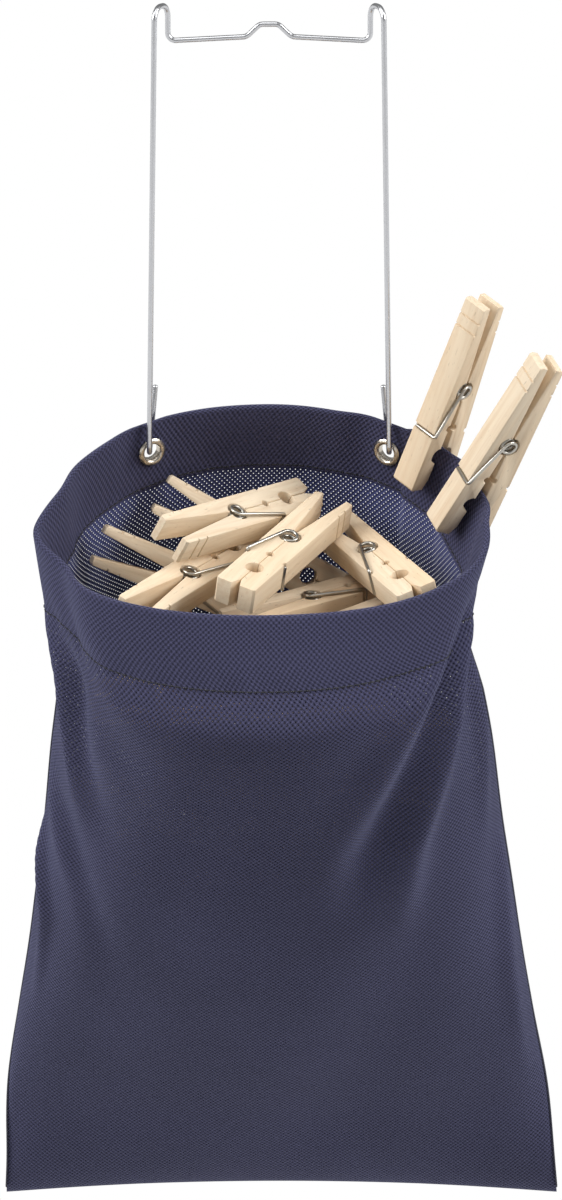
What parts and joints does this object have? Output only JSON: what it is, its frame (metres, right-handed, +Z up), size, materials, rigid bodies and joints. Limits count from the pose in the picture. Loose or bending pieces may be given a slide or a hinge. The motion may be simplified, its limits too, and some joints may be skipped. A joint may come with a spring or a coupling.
{
  "type": "peg bag",
  "caption": "Mesh cloth peg bag with a wide hemmed mouth, hung by eyelets from a bent wire hanger that hooks over a washing line, filled with sprung wooden pegs.",
  "frame": {"origin": "where the washing line bears, under the wire at the top of the two line hooks", "axes": "+Z up, +X to the right along the washing line, -Y towards the open front of the mouth"},
  "size_m": [0.2432, 0.2069, 0.5392],
  "materials": {
    "wire": "satin",
    "spring_wire": "satin",
    "eyelet": "satin",
    "cloth": "matte",
    "binding": "matte",
    "wood": "matte",
    "piled_pegs": "matte"
  },
  "bodies": {
    "hanger": {"hanger_wire": "wire"},
    "bag": {"back_panel": "cloth", "front_panel": "cloth", "rim_facing": "cloth", "right_seam_binding": "binding", "left_seam_binding": "binding", "right_eyelet": "eyelet", "right_washer": "eyelet", "left_eyelet": "eyelet", "left_washer": "eyelet", "peg_heap": "piled_pegs", "loose_peg_1_leg_b": "wood", "loose_peg_1_spring": "spring_wire", "loose_peg_2_leg_a": "wood", "loose_peg_2_spring": "spring_wire", "loose_peg_3_leg_a": "wood", "loose_peg_3_spring": "spring_wire", "loose_peg_4_leg_a": "wood", "loose_peg_4_spring": "spring_wire"},
    "clip_peg_1": {"clip_peg_1_inner_leg": "wood", "clip_peg_1_spring": "spring_wire"},
    "clip_peg_1_jaw": {"clip_peg_1_outer_leg": "wood"},
    "clip_peg_2": {"clip_peg_2_inner_leg": "wood", "clip_peg_2_spring": "spring_wire"},
    "clip_peg_2_jaw": {"clip_peg_2_outer_leg": "wood"},
    "loose_peg_1_jaw": {"loose_peg_1_leg_a": "wood"},
    "loose_peg_2_jaw": {"loose_peg_2_leg_b": "wood"},
    "loose_peg_3_jaw": {"loose_peg_3_leg_b": "wood"},
    "loose_peg_4_jaw": {"loose_peg_4_leg_b": "wood"}
  },
  "joints": [
    {"name": "bag_swing", "type": "hinge", "parent": "hanger", "child": "bag", "pos_m": [0, 0, -0.1785], "axis": [1, 0, 0], "range_deg": [-25, 7]},
    {"name": "clip_peg_1_pull", "type": "slide", "parent": "bag", "child": "clip_peg_1", "axis": [0.2895, -0.2361, 0.9276], "range_m": [0, 0.04]},
    {"name": "clip_peg_1_jaw_open", "type": "hinge", "parent": "clip_peg_1", "child": "clip_peg_1_jaw", "pos_m": [0.07391, -0.02056, -0.1472], "axis": [0.6681, -0.6442, -0.3725], "range_deg": [0, 6.5], "stiffness_Nm_per_rad": 0.05, "springref_deg": -8.59, "deforming": ["clip_peg_1_spring"]},
    {"name": "clip_peg_2_pull", "type": "slide", "parent": "bag", "child": "clip_peg_2", "axis": [0.412, -0.2768, 0.8681], "range_m": [0, 0.04]},
    {"name": "clip_peg_2_jaw_open", "type": "hinge", "parent": "clip_peg_2", "child": "clip_peg_2_jaw", "pos_m": [0.09255, -0.04308, -0.16373], "axis": [0.345, -0.8344, -0.4298], "range_deg": [0, 5], "stiffness_Nm_per_rad": 0.05, "springref_deg": -8.59, "deforming": ["clip_peg_2_spring"]},
    {"name": "loose_peg_1_jaw_open", "type": "hinge", "parent": "bag", "child": "loose_peg_1_jaw", "pos_m": [0.04023, -0.03631, -0.21444], "axis": [0.2225, 0.2277, -0.948], "range_deg": [0, 6], "stiffness_Nm_per_rad": 0.05, "springref_deg": -8.59, "deforming": ["loose_peg_1_spring"]},
    {"name": "loose_peg_2_jaw_open", "type": "hinge", "parent": "bag", "child": "loose_peg_2_jaw", "pos_m": [-0.03211, -0.05665, -0.21853], "axis": [0.2534, -0.3138, 0.915], "range_deg": [0, 13], "stiffness_Nm_per_rad": 0.05, "springref_deg": -8.59, "deforming": ["loose_peg_2_spring"]},
    {"name": "loose_peg_3_jaw_open", "type": "hinge", "parent": "bag", "child": "loose_peg_3_jaw", "pos_m": [-0.01463, -0.03353, -0.19955], "axis": [0.4164, -0.336, 0.8448], "range_deg": [0, 13], "stiffness_Nm_per_rad": 0.05, "springref_deg": -8.59, "deforming": ["loose_peg_3_spring"]},
    {"name": "loose_peg_4_jaw_open", "type": "hinge", "parent": "bag", "child": "loose_peg_4_jaw", "pos_m": [0.00761, -0.04912, -0.20647], "axis": [0.1254, -0.2757, 0.953], "range_deg": [0, 13], "stiffness_Nm_per_rad": 0.05, "springref_deg": -8.59, "deforming": ["loose_peg_4_spring"]}
  ]
}
